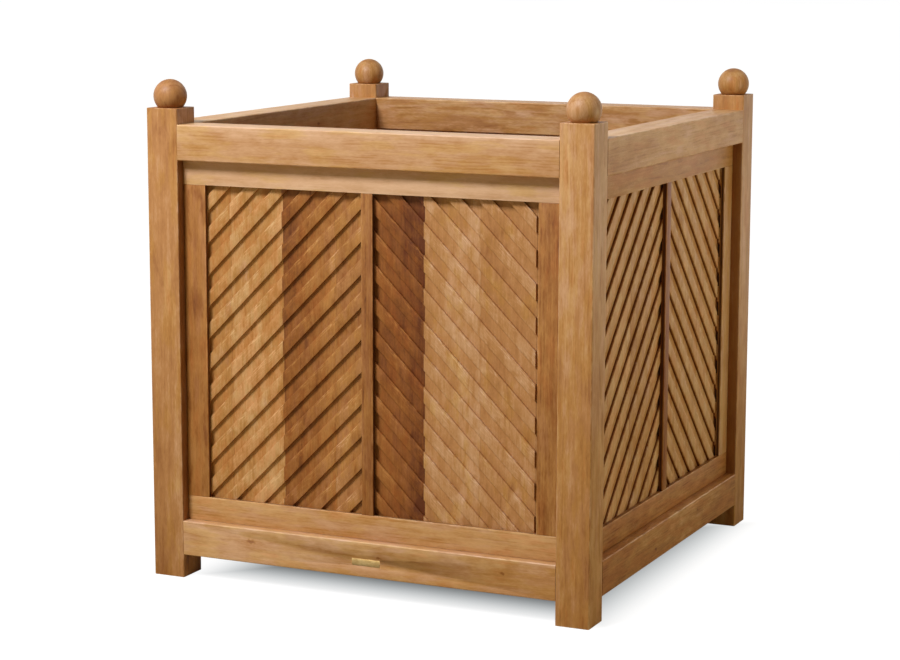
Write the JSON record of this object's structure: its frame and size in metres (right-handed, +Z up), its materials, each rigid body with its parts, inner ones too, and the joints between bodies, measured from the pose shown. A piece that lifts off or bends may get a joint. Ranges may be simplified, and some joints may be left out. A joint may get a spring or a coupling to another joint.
{
  "type": "versailles planter",
  "caption": "Square timber planter on corner posts with ball finials; framed panel sides of boards milled with diagonal channels in a chevron, and a slatted floor.",
  "frame": {"origin": "centre of the square plan, on the ground", "axes": "+Z up, front with the brass plate towards -Y, +X to the right as seen from the front"},
  "size_m": [0.7, 0.7004, 0.7411],
  "materials": {
    "post_teak": "oiled teak, satin",
    "finial_teak": "turned teak, satin",
    "rail_teak": "oiled teak, satin",
    "frame_teak": "planed teak, matt",
    "leaf_teak": "milled teak, matt",
    "floor_teak": "sawn teak, matt",
    "stainless_steel": "plain stainless steel",
    "plate_brass": "brushed brass, slightly dulled"
  },
  "bodies": {
    "root": {"post_front_left": "post_teak", "post_front_right": "post_teak", "post_back_right": "post_teak", "post_back_left": "post_teak", "finial_front_left": "finial_teak", "finial_front_right": "finial_teak", "finial_back_right": "finial_teak", "finial_back_left": "finial_teak", "front_top_rail": "rail_teak", "right_top_rail": "rail_teak", "back_top_rail": "rail_teak", "left_top_rail": "rail_teak", "front_bottom_rail": "rail_teak", "right_bottom_rail": "rail_teak", "back_bottom_rail": "rail_teak", "left_bottom_rail": "rail_teak", "front_frame_top": "frame_teak", "right_frame_top": "frame_teak", "back_frame_top": "frame_teak", "left_frame_top": "frame_teak", "front_frame_bottom": "frame_teak", "right_frame_bottom": "frame_teak", "back_frame_bottom": "frame_teak", "left_frame_bottom": "frame_teak", "front_left_stile": "frame_teak", "right_left_stile": "frame_teak", "back_left_stile": "frame_teak", "left_left_stile": "frame_teak", "front_right_stile": "frame_teak", "right_right_stile": "frame_teak", "back_right_stile": "frame_teak", "left_right_stile": "frame_teak", "front_muntin": "frame_teak", "right_muntin": "frame_teak", "back_muntin": "frame_teak", "left_muntin": "frame_teak", "front_left_leaf": "leaf_teak", "right_left_leaf": "leaf_teak", "back_left_leaf": "leaf_teak", "left_left_leaf": "leaf_teak", "front_right_leaf": "leaf_teak", "right_right_leaf": "leaf_teak", "back_right_leaf": "leaf_teak", "left_right_leaf": "leaf_teak", "front_cleat": "floor_teak", "back_cleat": "floor_teak", "floor_bearer": "floor_teak", "floor_slats": "floor_teak", "slat_screws": "stainless_steel", "cleat_screws": "stainless_steel", "name_plate": "plate_brass", "plate_pins": "plate_brass"}
  },
  "joints": []
}
